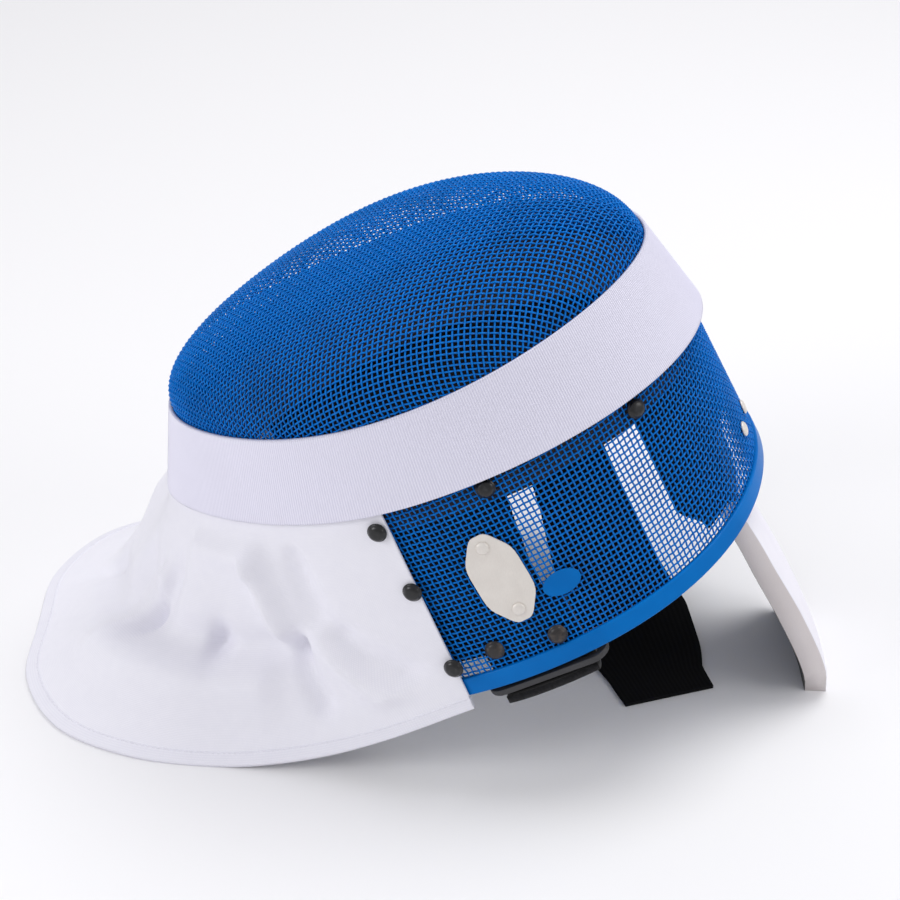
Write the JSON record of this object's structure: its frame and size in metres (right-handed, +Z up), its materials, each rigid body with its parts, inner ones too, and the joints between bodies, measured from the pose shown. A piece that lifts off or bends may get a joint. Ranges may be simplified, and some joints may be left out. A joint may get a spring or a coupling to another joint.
{
  "type": "fencing mask",
  "caption": "Fencing mask lying face up: domed woven wire face, wire sides with a steel rim, ribbed trim band, cloth bib, padded back tongue and strap.",
  "frame": {"origin": "on the floor under the middle of the mask, which lies face up", "axes": "+X from the bib towards the crown and the back tongue, +Y towards the wearer's right, +Z up"},
  "size_m": [0.445, 0.2416, 0.2872],
  "materials": {
    "blue_wire": "enamelled woven steel wire, semi-gloss",
    "blue_enamel": "smooth enamelled steel, semi-gloss",
    "ribbed_cloth": "fine ribbed elastic cloth, matt",
    "bib_cloth": "smooth woven cloth, matt",
    "black_cloth": "brushed padding cloth, matt",
    "strap_webbing": "woven elastic webbing, matt",
    "tongue_leather": "smooth coated leatherette, satin",
    "black_enamel": "black enamelled snap caps, semi-gloss",
    "grey_plastic": "moulded, satin",
    "bare_metal": "satin"
  },
  "bodies": {
    "root": {"bib": "bib_cloth", "bib_snap_lower_left": "black_enamel", "bib_snap_lower_right": "black_enamel", "bib_snap_middle_left": "black_enamel", "bib_snap_middle_right": "black_enamel", "bib_snap_upper_left": "black_enamel", "bib_snap_upper_right": "black_enamel", "cheek_pad_left": "black_cloth", "cheek_pad_right": "black_cloth", "crown_pad": "black_cloth", "crown_rivet_left": "bare_metal", "crown_rivet_right": "bare_metal", "face_mesh": "blue_wire", "oval_patch": "blue_enamel", "padding_ring": "black_cloth", "plate_rivet_lower": "bare_metal", "plate_rivet_upper": "bare_metal", "rim_band": "blue_enamel", "rim_snap_back_left": "black_enamel", "rim_snap_back_right": "black_enamel", "rim_snap_front_left": "black_enamel", "rim_snap_front_right": "black_enamel", "ring_webbing_left": "strap_webbing", "ring_webbing_right": "strap_webbing", "side_mesh": "blue_wire", "side_plate": "bare_metal", "strap": "strap_webbing", "strap_ring_left": "grey_plastic", "strap_ring_right": "grey_plastic", "tongue": "tongue_leather", "trim_band": "ribbed_cloth", "trim_snap_crown_left": "black_enamel", "trim_snap_crown_right": "black_enamel", "trim_snap_front_left": "black_enamel", "trim_snap_front_right": "black_enamel"}
  },
  "joints": []
}
